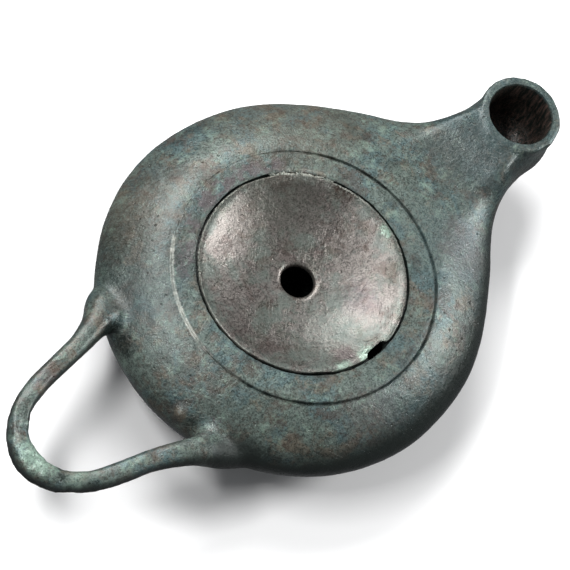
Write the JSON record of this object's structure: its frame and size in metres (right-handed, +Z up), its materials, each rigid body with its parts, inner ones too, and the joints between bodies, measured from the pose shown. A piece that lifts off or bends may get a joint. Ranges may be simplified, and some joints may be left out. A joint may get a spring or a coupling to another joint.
{
  "type": "bronze oil lamp",
  "caption": "Round low bronze oil lamp with a nozzle for the wick, a loop finger handle and a loose dished disc with a filling hole.",
  "frame": {"origin": "centre of the foot, on the plane the lamp stands on", "axes": "+X towards the nozzle, +Z up, the handle lies at -X"},
  "size_m": [0.1413, 0.079, 0.0256],
  "materials": {
    "bronze_patina": "mottled blue-green patina, satin",
    "disc_bronze": "brown-grey bronze, satin"
  },
  "bodies": {
    "root": {"lamp_body": "bronze_patina", "discus": "disc_bronze"}
  },
  "joints": []
}
